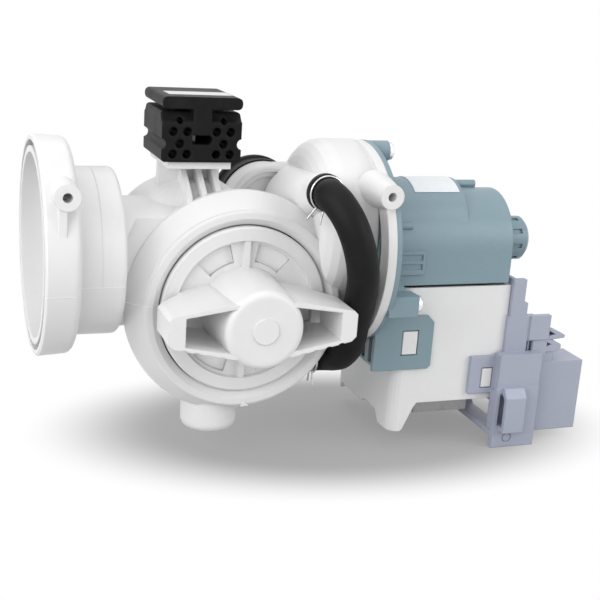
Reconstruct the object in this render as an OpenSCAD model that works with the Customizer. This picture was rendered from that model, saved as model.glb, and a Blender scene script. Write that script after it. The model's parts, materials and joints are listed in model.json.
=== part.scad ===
// Washer drain pump: inlet collar, filter chamber with a turn-out filter, volute and synchronous motor.
// Origin: centre of the inlet collar's mouth. X runs along the pump shaft, -Y faces the filter knob, Z is up.

/* [Inlet collar] */
// Outer radius of the collar at its mouth
collar_r = 45.2; // [43:0.1:50]
// Length of the collar along the shaft axis
collar_len = 14; // [12:0.5:20]
// Radius of the socket bore that takes the sump hose
socket_r = 37.8; // [36:0.1:39]
// Depth of the socket bore
socket_depth = 11; // [9:0.5:11.5]
// Outer radius of the neck behind the collar
neck_r = 34.8; // [33:0.1:37]
// Length of the neck
neck_len = 19; // [14:0.5:24]
// Wall of the neck
neck_wall = 2.6; // [2:0.1:4]
// Drop of the neck's axis below the shaft axis
neck_drop = 2.5; // [0:0.1:3]

/* [Filter] */
// Distance from the inlet mouth to the filter axis
filter_x = 84.8; // [82:0.2:90]
// Drop of the filter axis below the shaft axis
filter_drop = 23.5; // [20:0.5:26]
// Distance of the filter rim's front face from the shaft axis
rim_front = 25; // [24:0.5:27]
// Outer radius of the filter rim
rim_r = 43; // [42:0.1:46]
// Outer radius of the flange behind the rim
flange_r = 48.3; // [47:0.1:50]
// Radius of the neck bore that the filter plug turns in
plug_bore_r = 36.4; // [35:0.1:37.5]
// Outer radius of the filter chamber
chamber_r = 43.5; // [42.5:0.1:45]
// Depth of the chamber behind the shaft axis
chamber_back = 13; // [10:0.5:13]
// Half width of the knob bar
knob_half = 39.3; // [36:0.1:39.5]
// Distance that the knob stands out of the rim
knob_out = 29; // [24:0.5:32]
// Radius of the knob's hub
hub_r = 16.5; // [14:0.5:17]
// Axial travel per full turn of the filter plug
plug_lead = 12; // [10:0.5:15]
// Number of bars round the filter basket
basket_bars = 14; // [10:1:18]

/* [Volute] */
// Distance from the filter axis to the volute's back wall
volute_gap_x = 30.7; // [30:0.2:36]
// Depth of the volute up to its mounting ring
volute_depth = 23.8; // [23.6:0.2:27]
// Radius of the volute's outside
volute_r = 36.9; // [36:0.1:37]
// Wall of the volute
volute_wall = 3; // [2:0.1:4]
// Outer radius of the mounting ring that carries the motor
ring_r = 44.8; // [44.2:0.1:48]
// Thickness of the mounting ring
ring_t = 4; // [3.8:0.1:6]
// Radius of the impeller
impeller_r = 21.5; // [18:0.5:23]
// Radius of the suction eye
eye_r = 15; // [12:0.5:15.5]

/* [Outlet] */
// Radius of the elbow body behind the filter
outlet_r = 19.3; // [18:0.1:21]
// Bore radius of the outlet spigot
outlet_bore_r = 14; // [11:0.5:14.4]
// Reach of the outlet spigot behind the shaft axis
outlet_reach = 38; // [34:0.5:46]

/* [Screw posts] */
// Height of both screw posts above the shaft axis
post_z = 28.3; // [27:0.1:30]
// Distance of the post faces in front of the shaft axis
post_front = 43.5; // [41:0.5:48]
// Outer radius of a screw post
post_r = 5.2; // [4.5:0.1:6]
// Radius of the screw hole in a post
post_hole_r = 1.9; // [1.5:0.05:2.4]

/* [Rubber mount] */
// Width of the mount along the shaft
mount_w = 33; // [28:0.5:38]
// Depth of the mount across the shaft
mount_d = 34; // [28:0.5:38]
// Height of the mount's body
mount_h = 16.2; // [14:0.2:20]
// Height of its underside above the shaft axis
mount_z = 37.5; // [36:0.5:42]
// Radius of the damping holes in the mount
mount_hole_r = 1.8; // [1.2:0.1:2]

/* [Bypass hose] */
// Outer radius of the bypass hose
hose_r = 6.8; // [6.2:0.1:6.9]
// Inner radius of the bypass hose
hose_bore_r = 4.8; // [4:0.1:5.2]

/* [Motor] */
// Thickness of the motor's mounting flange
motor_flange_t = 2.3; // [2:0.1:3.4]
// Outer radius of the motor can
can_r = 23.7; // [23.2:0.1:26]
// Length of the motor can
can_len = 63; // [60:0.5:70]
// Radius of the boss at the end of the can
boss_r = 10.3; // [9:0.1:12]
// Length of the boss
boss_len = 17; // [14:0.5:22]
// Bore radius of the rotor well
well_r = 14.2; // [14:0.1:14.4]
// Radius of the rotor magnet
magnet_r = 13.3; // [11.5:0.1:13.5]
// Length of the rotor magnet
magnet_len = 33; // [28:0.5:35]
// Radius of the shaft
shaft_r = 2; // [1.5:0.05:2.5]
// Radius of the circle that the three motor screws lie on
screw_circle_r = 40.4; // [40:0.1:41]

/* [Stator] */
// Thickness of the lamination stack along the shaft
stack_len = 27; // [22:0.5:30]
// Length of the stator cover along the shaft
cover_len = 55; // [52:0.5:60]
// Depth of the stator cover across the shaft
cover_d = 46; // [45:0.5:50]
// Reach of the stator cover behind the shaft axis
cover_back = 42; // [38:0.5:44]
// Depth of the stator cover's underside below the shaft axis
cover_bottom = 71.5; // [69:0.5:76]
// Depth of the cover's feet below the shaft axis
foot_bottom = 85; // [80:0.5:90]

/* [Connector] */
// Depth of the connector bracket's end below the shaft axis
bracket_bottom = 93.5; // [90:0.5:98]
// Width of the plug box along the shaft
plug_box_w = 26; // [22:0.5:30]
// Height of the plug box
plug_box_h = 34.5; // [28:0.5:38]
// Depth of the plug box across the shaft
plug_box_d = 17; // [14:0.5:22]

/* [Fits] */
// Running clearance of the shaft in its bearings, on the radius
shaft_fit = 0.05; // [0.02:0.01:0.1]
// Gap between pieces that move past each other
move_gap = 0.5; // [0.3:0.05:0.6]
// Gap between pieces that sit beside each other
seat_gap = 0.1; // [0.05:0.01:0.2]

/* [Hidden] */
$fn = 64;

// Places along the shaft
neck_end = collar_len + neck_len;
volute_x = filter_x + volute_gap_x;
ring_x = volute_x + volute_depth;
flange_x = ring_x + ring_t;
flange_back = flange_x + motor_flange_t;
can_x = flange_x + 4;
can_end = can_x + can_len;
boss_end = can_end + boss_len;
cover_x = can_x + 10;
cover_end = cover_x + cover_len;
stack_x = cover_x + 13;
stack_mid = stack_x + stack_len / 2;
post_x1 = collar_len - post_r - 0.7;
post_x2 = flange_x - post_r + 1.3;
post_depth = 10;

// Inlet tube of the housing, set lower than the neck
tube_r = neck_r - 7.5;
tube_wall = 2.6;
tube_drop = neck_drop + neck_r - neck_wall - tube_r - 0.1;
tube_x = neck_end - neck_wall - 2;
tube_cut_r = 59;
groove_in = socket_r + 2.6;
groove_out = collar_r - 2.4;

// Rounded chamber that joins the tube to the filter chamber
bulge_x = filter_x - 17.3;
bulge_r = tube_r + 6.2;
bulge_z = -tube_drop + 1.4;
bulge_front = -12;
bulge_back = tube_r;
bulge_wall = 4;

// Filter places
filter_z = -filter_drop;
flange_y = -rim_front + 8;
flange_t = 3;
flange_shift = 1.3;
flange_flat = 38.5;
lip_w = 2.8;
knob_back = 8;
wing_cut = 9.8;
plug_face = -rim_front;
plug_r = plug_bore_r - move_gap;
plug_wall = 3.4;
disc_t = 6;
seal_wire = 1.15;
seal_y = plug_face + disc_t + seal_wire + seat_gap / 2;
skirt_y = seal_y + seal_wire + seat_gap / 2;
stud_r = 1.4;
track_half = stud_r + move_gap;
stud_y = skirt_y + track_half + 0.7;
plug_travel = plug_lead / 2;
skirt_end = stud_y + plug_travel + move_gap;
track_depth = 1.8;
basket_r = plug_r - plug_wall - 0.2;
basket_bar_r = 1.3;
basket_end = chamber_back - 3;

// Volute places: its round outside is set up and back from the shaft
volute_y = 4;
volute_z = 7.8;
volute_in_r = volute_r - volute_wall;
volute_in_x = volute_x + 12.5;
ring_bore_r = ring_r - 7.8;

// Outlet places
outlet_x = filter_x + 20.5;
outlet_z = 12;
outlet_face = 11;
outlet_end = 24;
outlet_wall = 2.5;
sleeve_wall = 3.4;
link_y = outlet_face + 2.7;
link_z = 10;
link_d = 10;
link_h = 16.5;

// Bypass hose route, from the volute spigot to the filter chamber spigot
spigot_r = hose_bore_r - 0.15;
spigot_bore_r = spigot_r - 1.6;
upper_spigot = [volute_x - 0.2, -28, 27.5];
lower_spigot = [filter_x + 38.2, -6.5, -52];
hose_points = [
    upper_spigot,
    upper_spigot + [0, -5.5, 0],
    upper_spigot + [0.1, -8.2, -0.1],
    upper_spigot + [2.4, -12.9, -3],
    upper_spigot + [6, -17.6, -10],
    upper_spigot + [10, -19.2, -20.5],
    upper_spigot + [13.4, -16.8, -32.6],
    lower_spigot + [8.5, -30.1, 33.2],
    lower_spigot + [8.7, -25.7, 22.7],
    lower_spigot + [8.8, -22.1, 13],
    lower_spigot + [8.7, -14.5, 5.8],
    lower_spigot + [8.2, -8, 2.6],
    lower_spigot + [7.4, -4, 1.2],
    lower_spigot + [6, -1.7, 0.5],
    lower_spigot + [4, -0.35, 0.1],
    lower_spigot + [2, 0, 0],
    lower_spigot
];
hose_sides = 16;
hose_steps = 4;
clamp_wire = 0.45;

// Mount places
mount_x = bulge_x - 2.2;
mount_neck = 7.6;
mount_shoulder = mount_h + 3.8;
mount_plate_z = mount_shoulder + 1.3;
mount_plate_t = 4.8;
tongue_z = mount_z + 7.4;

// Drain sump under the filter chamber
sump_x = filter_x - 9;
sump_y = -7.5;
sump_r = 12.3;
sump_bottom = -81;

// Motor places
screw_angles = [90, 210, 330];
screw_r = 1.5;
screw_boss_r = 4.6;
screw_grip = ring_t - 0.4;
screw_head_r = 4;
screw_boss_end = [can_x + 7.2, can_x + 10.8, can_x + 10.8];
spigot_reach = 3.5;
volute_seal_wire = 1.4;
motor_spigot_r = ring_bore_r - 2 * volute_seal_wire - 0.2;
well_wall = 1.4;
well_end = can_end - 4.3;
can_wall = 2;
can_floor = -15.3;
pad_r = can_r - 3.2;
pad_z = 8;
pad_len = 41;
pad_angle = acos((can_r - pad_r) / pad_z);
rear_cup_r = 8.5;
bearing_r = 6;
bearing_x = flange_x + 2.8;
bearing_len = 7;
plate_r = well_r - seat_gap;
plate_face = flange_x - spigot_reach;
magnet_x = stack_mid - magnet_len / 2;
sleeve_r = 7;
hub_x = volute_in_x + 2;
hub_cup_r = 11.8;
hub_len = 7.7;
dog_r = 9.2;
dog_half_angle = 28;
blade_count = 6;

// Stator places
cover_top = can_floor - 1.4;
shelf_drop = 28;
cover_wall = 1.8;
yoke_half = cover_d / 2 - cover_wall - 1.2;
yoke_bottom = cover_bottom + 6;
yoke_top = cover_bottom - 5.5;
leg_in = 7.5;
leg_out = 16.5;
pole_out = can_r - can_wall - 1;
pole_top = 12;
core_bore = well_r + well_wall + move_gap;
bobbin_wall = 1;
bobbin_top = -23;
bobbin_bottom = -yoke_top + 1.5;
bobbin_half_x = stack_len / 2 + 6;
bobbin_in = 1;
bobbin_out = cover_d / 2 - cover_wall - 0.1;
clip_z = [-54.2, -29.2];
clip_x = [cover_x + 0.2, cover_x + 16.7];
window_x = [cover_x + 2, cover_x + 9];
window_z = [-47, -36.3];
tab_window_x = [cover_end - 11, cover_end - 6];
tab_window_z = [-65, -56];
clip_t = 1.9;

// Connector places
front_y = -cover_d / 2 - clip_t - seat_gap;
end_wall_x = cover_end + 0.3;
end_wall_t = 2.4;
box_x = cover_end + 16.7;
box_z = -89;
box_y = front_y;
box_wall = 1.6;
blade_y = box_y + plug_box_d / 2;
blade_zs = [-62, -68];

module xcyl(x0, x1, r, y = 0, z = 0, r2 = -1) {
    translate([x0, y, z]) rotate([0, 90, 0]) cylinder(h = x1 - x0, r1 = r, r2 = r2 < 0 ? r : r2);
}
module ycyl(y0, y1, r, x = 0, z = 0, r2 = -1) {
    translate([x, y0, z]) rotate([-90, 0, 0]) cylinder(h = y1 - y0, r1 = r, r2 = r2 < 0 ? r : r2);
}
module xbox(x, y, z) {
    translate([x[0], y[0], z[0]]) cube([x[1] - x[0], y[1] - y[0], z[1] - z[0]]);
}
// Turned shape about the X direction: points are [x, radius]
module xturn(points, y = 0, z = 0) {
    translate([0, y, z]) rotate([0, 90, 0]) rotate_extrude() polygon([for (p = points) [p[1], p[0]]]);
}
// Turned shape about the Y direction: points are [y, radius]
module yturn(points, x = 0, z = 0) {
    translate([x, 0, z]) rotate([-90, 0, 0]) rotate_extrude() polygon([for (p = points) [p[1], p[0]]]);
}
// Flat outline in X and Z, given its depth in Y
module yslab(y0, y1) {
    translate([0, y1, 0]) rotate([90, 0, 0]) linear_extrude(y1 - y0) children();
}
// Flat outline in Y and Z, given its length in X
module xslab(x0, x1) {
    translate([x0, 0, 0]) rotate([90, 0, 90]) linear_extrude(x1 - x0) children();
}
// Quarter round of n steps: centre [a, b], radius r, from angle a0 to a1, as [along, radius] points
function bend(a, b, r, a0, a1, n = 5) = [for (i = [0:n]) [a + r * cos(a0 + (a1 - a0) * i / n),
    b + r * sin(a0 + (a1 - a0) * i / n)]];
function on_screw_circle(i) = [screw_circle_r * cos(screw_angles[i]), screw_circle_r * sin(screw_angles[i])];

module screw_post(x, root) {
    ycyl(-post_front, -post_front + 3, post_r, x, post_z);
    ycyl(-post_front + 3, -24, post_r, x, post_z, root);
}

module inlet_collar() color("white") {
    difference() {
        union() {
            xturn(concat([[0, 0], [0, collar_r - 0.8], [0.8, collar_r]],
                bend(collar_len - 3, collar_r - 3.6, 3, 90, 0), [[collar_len, 0]]));
            xturn(concat([[collar_len - 1, 0], [collar_len - 1, neck_r]],
                bend(neck_end - 2, neck_r - 2, 2, 90, 0), [[neck_end, 0]]), 0, -neck_drop);
            screw_post(post_x1, post_r + 0.6);
            xbox([post_x1 - 3, post_x1], [-post_front + 0.6, -38], [8, post_z]);
        }
        xcyl(-1, socket_depth, socket_r);
        xcyl(socket_depth - 1, neck_end - neck_wall, neck_r - neck_wall, 0, -neck_drop);
        xcyl(neck_end - neck_wall - 1, neck_end + 1, tube_r + seat_gap, 0, -tube_drop);
        difference() {
            xcyl(-1, 9, groove_out);
            xcyl(-2, 10, groove_in);
        }
        ycyl(-post_front - 1, -post_front + post_depth, post_hole_r, post_x1, post_z);
    }
}

module housing_outside() {
    // Round stub inside the neck, then the tube cut away in front where the rim stands
    xcyl(tube_x, neck_end + 0.5, tube_r, 0, -tube_drop);
    difference() {
        xcyl(tube_x, bulge_x, tube_r, 0, -tube_drop);
        ycyl(-2 * tube_r, flange_y + 0.5, tube_cut_r, filter_x, filter_z);
    }
    difference() {
        union() {
            yturn(concat([[bulge_front, 0]], bend(bulge_front + 14, bulge_r - 14, 14, 180, 90, 8),
                bend(bulge_back - 10, bulge_r - 10, 10, 90, 0), [[bulge_back, 0]]), bulge_x, bulge_z);
            xturn(concat([[volute_x, 0]], bend(volute_x + 11, volute_r - 11, 11, 180, 90),
                [[ring_x + 1, volute_r], [ring_x + 1, 0]]), volute_y, volute_z);
        }
        // Room for the sleeve of the outlet
        ycyl(outlet_end, outlet_reach + 20, outlet_bore_r + outlet_wall + sleeve_wall + move_gap, outlet_x, outlet_z);
    }
    yturn(concat([[flange_y, 0], [flange_y, chamber_r]],
        bend(chamber_back - 1, chamber_r - 4, 4, 90, 0), [[chamber_back + 3, 0]]), filter_x, filter_z);
    // Sloping rim, cut flat on the side where the bypass hose passes
    intersection() {
        yturn([[plug_face + 0.6, 0], [plug_face + 0.6, rim_r - 1.4], [flange_y - 0.6, flange_r - 0.6],
            [flange_y, flange_r], [flange_y + flange_t, flange_r], [flange_y + flange_t, 0]],
            filter_x - flange_shift, filter_z + flange_shift);
        xbox([0, filter_x + flange_flat], [-50, 50], [-90, 60]);
    }
    yturn(concat([[plug_face, 0]], bend(plug_face + 1.6, rim_r - 1.6, 1.6, 180, 90),
        [[flange_y + 1, rim_r], [flange_y + 1, 0]]), filter_x, filter_z);
    yslab(plug_face - 0.35, plug_face + 1.5) translate([filter_x, filter_z - rim_r])
        polygon([[0.1, -0.1], [3.9, 0.1], [1.9, 2.4]]);
    xcyl(filter_x + 12, volute_x + 1, eye_r + 3);
    xcyl(ring_x, flange_x, ring_r);
    outlet_outside();
    bypass_spigots();
    mount_bracket();
    translate([sump_x, sump_y, 0]) rotate_extrude() polygon(concat([[0, -60], [0, sump_bottom]],
        [for (p = bend(sump_bottom + 4, sump_r - 4, 4, 180, 90)) [p[1], p[0]]], [[sump_r, -60]]));
    difference() {
        screw_post(post_x2, post_r + 3);
        xcyl(flange_x, flange_x + 30, ring_r + 0.6);
    }
}

module outlet_outside() {
    yturn([[outlet_face, 0], [outlet_face, outlet_r - 1], [outlet_face + 1, outlet_r],
        [outlet_end, outlet_r], [outlet_end, 0]], outlet_x, outlet_z);
    xslab(outlet_x, volute_x + 3) polygon(concat([[outlet_end, -4], [outlet_face + 3, -4]],
        bend(outlet_face + 10, outlet_z + outlet_r - 7.2, 7, 180, 90), [[outlet_end, outlet_z + outlet_r - 0.2]]));
    ycyl(outlet_end - 1, outlet_reach, outlet_bore_r + outlet_wall, outlet_x, outlet_z);
}

module bypass_spigots() {
    u = upper_spigot;
    l = lower_spigot;
    ycyl(u[1] + seat_gap, -20, spigot_r + 2.2, u[0], u[2]);
    translate([u[0] + 0.7, outlet_face, link_z + 7]) rotate([75, 0, 0]) cylinder(h = 37, r1 = 14.5, r2 = spigot_r + 2.4);
    ycyl(u[1] - 9, u[1] + 1, spigot_r, u[0], u[2]);
    xcyl(l[0] - 12, l[0] - seat_gap, spigot_r + 2, l[1], l[2]);
    xcyl(l[0] - 1, l[0] + 5, spigot_r, l[1], l[2]);
}

module mount_bracket() {
    half = mount_w / 2 - 3.4;
    top = mount_z - seat_gap;
    xbox([mount_x - half, mount_x + half], [-mount_d / 2 + 2, mount_d / 2 + 1], [top - 3, top]);
    xbox([mount_x - half, mount_x + half], [2, 6], [bulge_z + 20, top - 1]);
    for (x = [mount_x - 5, mount_x + 1.5, mount_x + 8])
        xslab(x, x + 2.4) polygon([[4, top - 2], [4, bulge_z + 20], [flange_y + 1, bulge_z + 20],
            [flange_y + 1, bulge_z + 29], [1, top - 2]]);
    // Upright and tongue that hold the rubber mount
    xbox([mount_x - 6, mount_x + 6], [mount_d / 2 + seat_gap, mount_d / 2 + 3], [top - 2, tongue_z + 4]);
    xbox([mount_x - 3.6, mount_x - 1], [-mount_d / 2 + 7, mount_d / 2 + 1], [tongue_z, tongue_z + 3.2]);
}

module housing_inside() {
    difference() {
        xcyl(tube_x - 1, bulge_x - 3, tube_r - tube_wall, 0, -tube_drop);
        ycyl(-2 * tube_r, bulge_front + bulge_wall, tube_cut_r + bulge_wall, filter_x, filter_z);
    }
    ycyl(bulge_front + bulge_wall, bulge_back - 5.5, bulge_r - 8, bulge_x - 3.5, bulge_z - 0.6);
    intersection() {
        ycyl(skirt_end + 4, chamber_back, chamber_r - 3, filter_x, filter_z);
        xbox([0, volute_in_x - volute_wall], [-20, 20], [-80, 30]);
    }
    ycyl(plug_face - 1, skirt_end + 5, plug_bore_r, filter_x, filter_z);
    ycyl(plug_face - 0.01, plug_face + lip_w, plug_bore_r + lip_w, filter_x, filter_z, plug_bore_r);
    xcyl(filter_x + 12, volute_in_x + 1, eye_r);
    xturn(concat([[volute_in_x, 0]],
        bend(volute_in_x + 6, volute_in_r - 6, 6, 180, 90),
        [[ring_x + 0.2, volute_in_r], [ring_x + 0.2, 0]]), volute_y, volute_z);
    xcyl(ring_x, flange_x + 1, ring_bore_r);
    for (i = [0:2])
        xcyl(flange_x - screw_grip, flange_x + 1, screw_r + 0.05, on_screw_circle(i)[0], on_screw_circle(i)[1]);
    ycyl(outlet_face + 5, outlet_reach + 1, outlet_bore_r, outlet_x, outlet_z);
    xslab(outlet_x, volute_in_x + 3) translate([link_y, link_z]) square([link_d, link_h]);
    difference() {
        union() {
            ycyl(outlet_face - 1, outlet_face + 1.2, outlet_r - 2.6, outlet_x, outlet_z);
            ycyl(outlet_face, outlet_face + 2.4, outlet_r - 5, outlet_x, outlet_z);
        }
        ycyl(0, outlet_reach, chamber_r, filter_x, filter_z);
    }
    ycyl(upper_spigot[1] - 10, -8, spigot_bore_r, upper_spigot[0], upper_spigot[2]);
    xcyl(upper_spigot[0], volute_in_x + 6, spigot_bore_r, -11, upper_spigot[2]);
    xcyl(lower_spigot[0] - 14, lower_spigot[0] + 6, spigot_bore_r, lower_spigot[1], lower_spigot[2]);
    translate([sump_x, sump_y, sump_bottom + 2.5]) cylinder(h = 27, r = sump_r - 3);
    ycyl(-post_front - 1, -post_front + post_depth, post_hole_r, post_x2, post_z);
}

module pump_housing() color("white") {
    difference() {
        housing_outside();
        housing_inside();
    }
    // Two studs that ride in the spiral tracks of the filter plug
    for (a = [0, 180])
        translate([filter_x, stud_y, filter_z]) rotate([0, a, 0]) xcyl(plug_bore_r - 1.5, plug_bore_r + 2, stud_r);
}

module outlet_sleeve() color("black") {
    inner = outlet_bore_r + outlet_wall + seat_gap / 2;
    outer = inner + sleeve_wall;
    start = outlet_end + seat_gap;
    yturn([[start, inner], [start, outer], [start + 3, outer], [start + 4, outer - 1],
        [outlet_reach - 4, outer - 1], [outlet_reach - 3, outer], [outlet_reach - 0.5, outer],
        [outlet_reach - 0.5, inner]], outlet_x, outlet_z);
}

// Points on a smooth curve through the route, n steps for each stretch
function curve_at(p, i, t) = let (
    a = p[max(i - 1, 0)], b = p[i], c = p[i + 1], d = p[min(i + 2, len(p) - 1)])
    0.5 * (2 * b + (c - a) * t + (2 * a - 5 * b + 4 * c - d) * t * t + (3 * b - a - 3 * c + d) * t * t * t);
function curve(p, n) = concat([for (i = [0:len(p) - 2], k = [0:n - 1]) curve_at(p, i, k / n)], [p[len(p) - 1]]);
function unit(v) = v / norm(v);
function heading(p, i) = i == 0 ? [0, -1, 0] : i == len(p) - 1 ? [-1, 0, 0] : unit(p[i + 1] - p[i - 1]);
// Side directions carried along the route without twist
function carried(p, i, side) = i >= len(p) ? [] : let (
    t = heading(p, i), s = unit(side - (side * t) * t)) concat([s], carried(p, i + 1, s));
function rings(p, sides, r) = let (s = carried(p, 0, [1, 0, 0]))
    [for (i = [0:len(p) - 1], k = [0:sides - 1]) let (a = 360 * k / sides, u = cross(heading(p, i), s[i]))
        p[i] + r * (cos(a) * s[i] + sin(a) * u)];

module bypass_hose() color("#202020") {
    path = curve(hose_points, hose_steps);
    m = len(path);
    n = hose_sides;
    points = concat(rings(path, n, hose_r), rings(path, n, hose_bore_r / cos(180 / n)));
    inner = m * n;
    walls = [for (i = [0:m - 2], k = [0:n - 1]) let (a = i * n + k, b = i * n + (k + 1) % n)
        each [[a, b, b + n], [a, b + n, a + n], [inner + a, inner + b + n, inner + b],
            [inner + a, inner + a + n, inner + b + n]]];
    last = (m - 1) * n;
    ends = [for (k = [0:n - 1]) let (j = (k + 1) % n)
        each [[k, inner + k, inner + j], [k, inner + j, j],
            [last + k, last + j, inner + last + j], [last + k, inner + last + j, inner + last + k]]];
    polyhedron(points, concat(walls, ends), convexity = 8);
}

module wire_clamp() {
    rotate_extrude() translate([hose_r + clamp_wire + seat_gap / 2, 0]) circle(clamp_wire, $fn = 24);
    for (a = [-14, 14])
        rotate([0, 0, a]) translate([hose_r + clamp_wire, 0, 0]) rotate([0, 90, 0]) cylinder(h = 6, r = clamp_wire);
}

module upper_hose_clamp() color("silver")
    translate(upper_spigot + [0, -4, 0]) rotate([-90, 0, 0]) rotate([0, 0, 115]) wire_clamp();

module lower_hose_clamp() color("silver")
    translate(lower_spigot + [0.5, 0, 0]) rotate([0, 90, 0]) wire_clamp();

// Outline of the mount's width from one height to another, with round corners
module round_slab(z0, z1, r) {
    w = mount_w / 2 - r;
    polygon(concat(bend(w, z1 - r, r, 0, 90, 4), bend(-w, z1 - r, r, 90, 180, 4),
        bend(-w, z0 + r, r, 180, 270, 4), bend(w, z0 + r, r, 270, 360, 4)));
}

module rubber_mount() color("#181818") {
    half = mount_w / 2;
    scoop = 6;
    difference() {
        translate([mount_x, 0, mount_z]) yslab(-mount_d / 2, mount_d / 2) union() {
            round_slab(0, mount_shoulder, 1.3);
            translate([-mount_neck / 2, mount_h]) square([mount_neck, mount_plate_z - mount_h + 1]);
            round_slab(mount_plate_z, mount_plate_z + mount_plate_t, 2);
        }
        for (side = [-1, 1]) {
            for (h = [[0.72, 12.3], [0.37, 12.3], [0.55, 7.4], [0.72, 3.2], [0.37, 3.2]])
                ycyl(-mount_d, mount_d, mount_hole_r, mount_x + side * h[0] * half, mount_z + h[1]);
            ycyl(-mount_d, mount_d, 2.2, mount_x + side * (half + 0.4), mount_z + 7.4);
            // Shoulders scooped out at the front and the back, on both sides of the neck
            for (end = [-1, 1]) intersection() {
                xcyl(mount_x - half - 1, mount_x + half + 1, scoop, end * (mount_d / 2 + 2.2), mount_z + mount_h + 5.5);
                translate([mount_x + side * (half + mount_neck) / 2, 0, mount_z + mount_plate_z - 5])
                    cube([half, 2 * mount_d, 10], center = true);
            }
            ycyl(-mount_d, mount_d, 1.3, mount_x + side * 0.55 * half, mount_z + mount_h + 0.3);
        }
        xbox([mount_x - 4, mount_x + 2.4], [-mount_d, mount_d], [tongue_z - 0.3, tongue_z + 3.5]);
        ycyl(-mount_d, mount_d, 1.9, mount_x + 2.4, tongue_z + 1.6);
    }
}

module filter_seal() color("black")
    translate([filter_x, seal_y, filter_z]) rotate([-90, 0, 0])
        rotate_extrude() translate([plug_bore_r - seal_wire - seat_gap / 2, 0]) circle(seal_wire, $fn = 32);

// Half outline of the knob bar in X and Z
module knob_wing() {
    polygon([[-1, -11.5], [hub_r - 4, -11.5], [knob_half - 2, -6], [knob_half, -4], [knob_half, 5.5],
        [knob_half - 1.5, 7], [hub_r, 11], [-1, 11]]);
}

module knob() {
    face = plug_face - knob_out;
    yturn(concat([[plug_face + 3, 0], [plug_face + 3, hub_r + 2]],
        [for (p = bend(-face - 3, hub_r - 3, 3, 90, 0)) [-p[0], p[1]]], [[face, 0]]));
    difference() {
        for (m = [0, 1]) mirror([m, 0, 0]) yslab(face + 0.6, plug_face + 3) knob_wing();
        for (m = [0, 1]) mirror([m, 0, 0]) {
            // Hollow of the wing, its back cleared from the rim, and the scalloped grip below
            yslab(face - 1, plug_face + 2.6) polygon([[hub_r - 4, -9.3], [hub_r - 4, 9.4],
                [knob_half - 6.8, 6.4], [knob_half - 6.8, -5.4]]);
            translate([0, 0, -20]) linear_extrude(40) polygon([[knob_half - wing_cut, plug_face + 4],
                [knob_half - wing_cut, plug_face - 1.6], [knob_half - 1, plug_face - knob_back],
                [knob_half + 5, plug_face - knob_back], [knob_half + 5, plug_face + 4]]);
            for (i = [0:3])
                ycyl(face - 1, plug_face, 2, hub_r + 0.6 + 5.4 * i, -12.2 + 1.26 * i);
        }
    }
    ycyl(face - 0.6, face + 1, 5.4);
}

module filter_cap() color("white")
    translate([filter_x, 0, filter_z]) {
        seat_r = plug_bore_r - 2 * seal_wire - seat_gap;
        difference() {
            yturn([[plug_face, 0], [plug_face, plug_r - 0.8], [plug_face + 0.8, plug_r],
                [plug_face + disc_t, plug_r], [plug_face + disc_t, seat_r], [skirt_y, seat_r], [skirt_y, plug_r],
                [skirt_end, plug_r], [skirt_end, plug_r - plug_wall], [plug_face + disc_t, plug_r - plug_wall],
                [plug_face + disc_t, 0]]);
            // Sunk face inside the rim of the plug, with four window pockets
            ycyl(plug_face - 1, plug_face + 2.6, plug_r - 6);
            for (a = [44, 105, 224, 281])
                rotate([0, a, 0]) pocket_sector();
            for (a = [0, 180])
                rotate([0, a, 0]) spiral_track();
        }
        for (a = [90, 270])
            rotate([0, -a, 0]) xbox([hub_r - 2, plug_r - 5], [plug_face + 0.6, plug_face + 3], [-1.4, 1.4]);
        knob();
    }

module pocket_sector()
    rotate([-90, 0, 0]) translate([0, 0, plug_face + 2])
        rotate_extrude(angle = 32) translate([plug_r - 15.2, 0]) square([7.8, 2.9]);

// Spiral track cut in the plug's skirt: the stud of the housing rides in it as the plug turns out
module spiral_track() {
    start = stud_y - track_half;
    rise = skirt_end + 1 - start;
    span = 360 * 2 * track_half / plug_lead;
    inner = plug_r - track_depth;
    step = span / 12;
    rotate([-90, 0, 0]) translate([0, 0, start])
        linear_extrude(height = rise, twist = -360 * rise / plug_lead, slices = ceil(36 * rise / plug_lead))
            polygon(concat([for (i = [0:12]) inner * [cos(step * i - span), sin(step * i - span)]],
                [for (i = [12:-1:0]) (plug_r + 1) * [cos(step * i - span), sin(step * i - span)]]));
}

module filter_basket() color("white")
    translate([filter_x, 0, filter_z]) difference() {
        union() {
            yturn([[skirt_y + 1, basket_r - 2.6], [skirt_y + 1, basket_r], [skirt_end + 2, basket_r],
                [skirt_end + 2, basket_r - 2.6]]);
            yturn([[basket_end - 3, 0], [basket_end - 3, basket_r], [basket_end, basket_r], [basket_end, 0]]);
            for (i = [0:basket_bars - 1])
                let (a = 360 * (i + 0.5) / basket_bars)
                    if (abs(a - 180) > 34)
                        ycyl(skirt_end, basket_end - 1, basket_bar_r, (basket_r - 1.7) * cos(a),
                            (basket_r - 1.7) * sin(a));
        }
        for (a = [0:60:300])
            ycyl(basket_end - 4, basket_end + 1, 6, 19 * cos(a), 19 * sin(a));
    }

module volute_seal() color("black")
    translate([flange_x - volute_seal_wire - seat_gap, 0, 0]) rotate([0, 90, 0]) rotate_extrude()
        translate([ring_bore_r - volute_seal_wire - seat_gap / 2, 0]) circle(volute_seal_wire, $fn = 32);

// Ring sector in Y and Z about the shaft, half a degrees to each side of the upward direction turned by b
module sector(x0, x1, r0, r1, a, b = 0) {
    rotate([b, 0, 0]) rotate([0, 90, 0]) rotate([0, 0, 180 - a]) translate([0, 0, x0])
        rotate_extrude(angle = 2 * a) translate([r0, 0]) square([r1 - r0, x1 - x0]);
}

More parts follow.
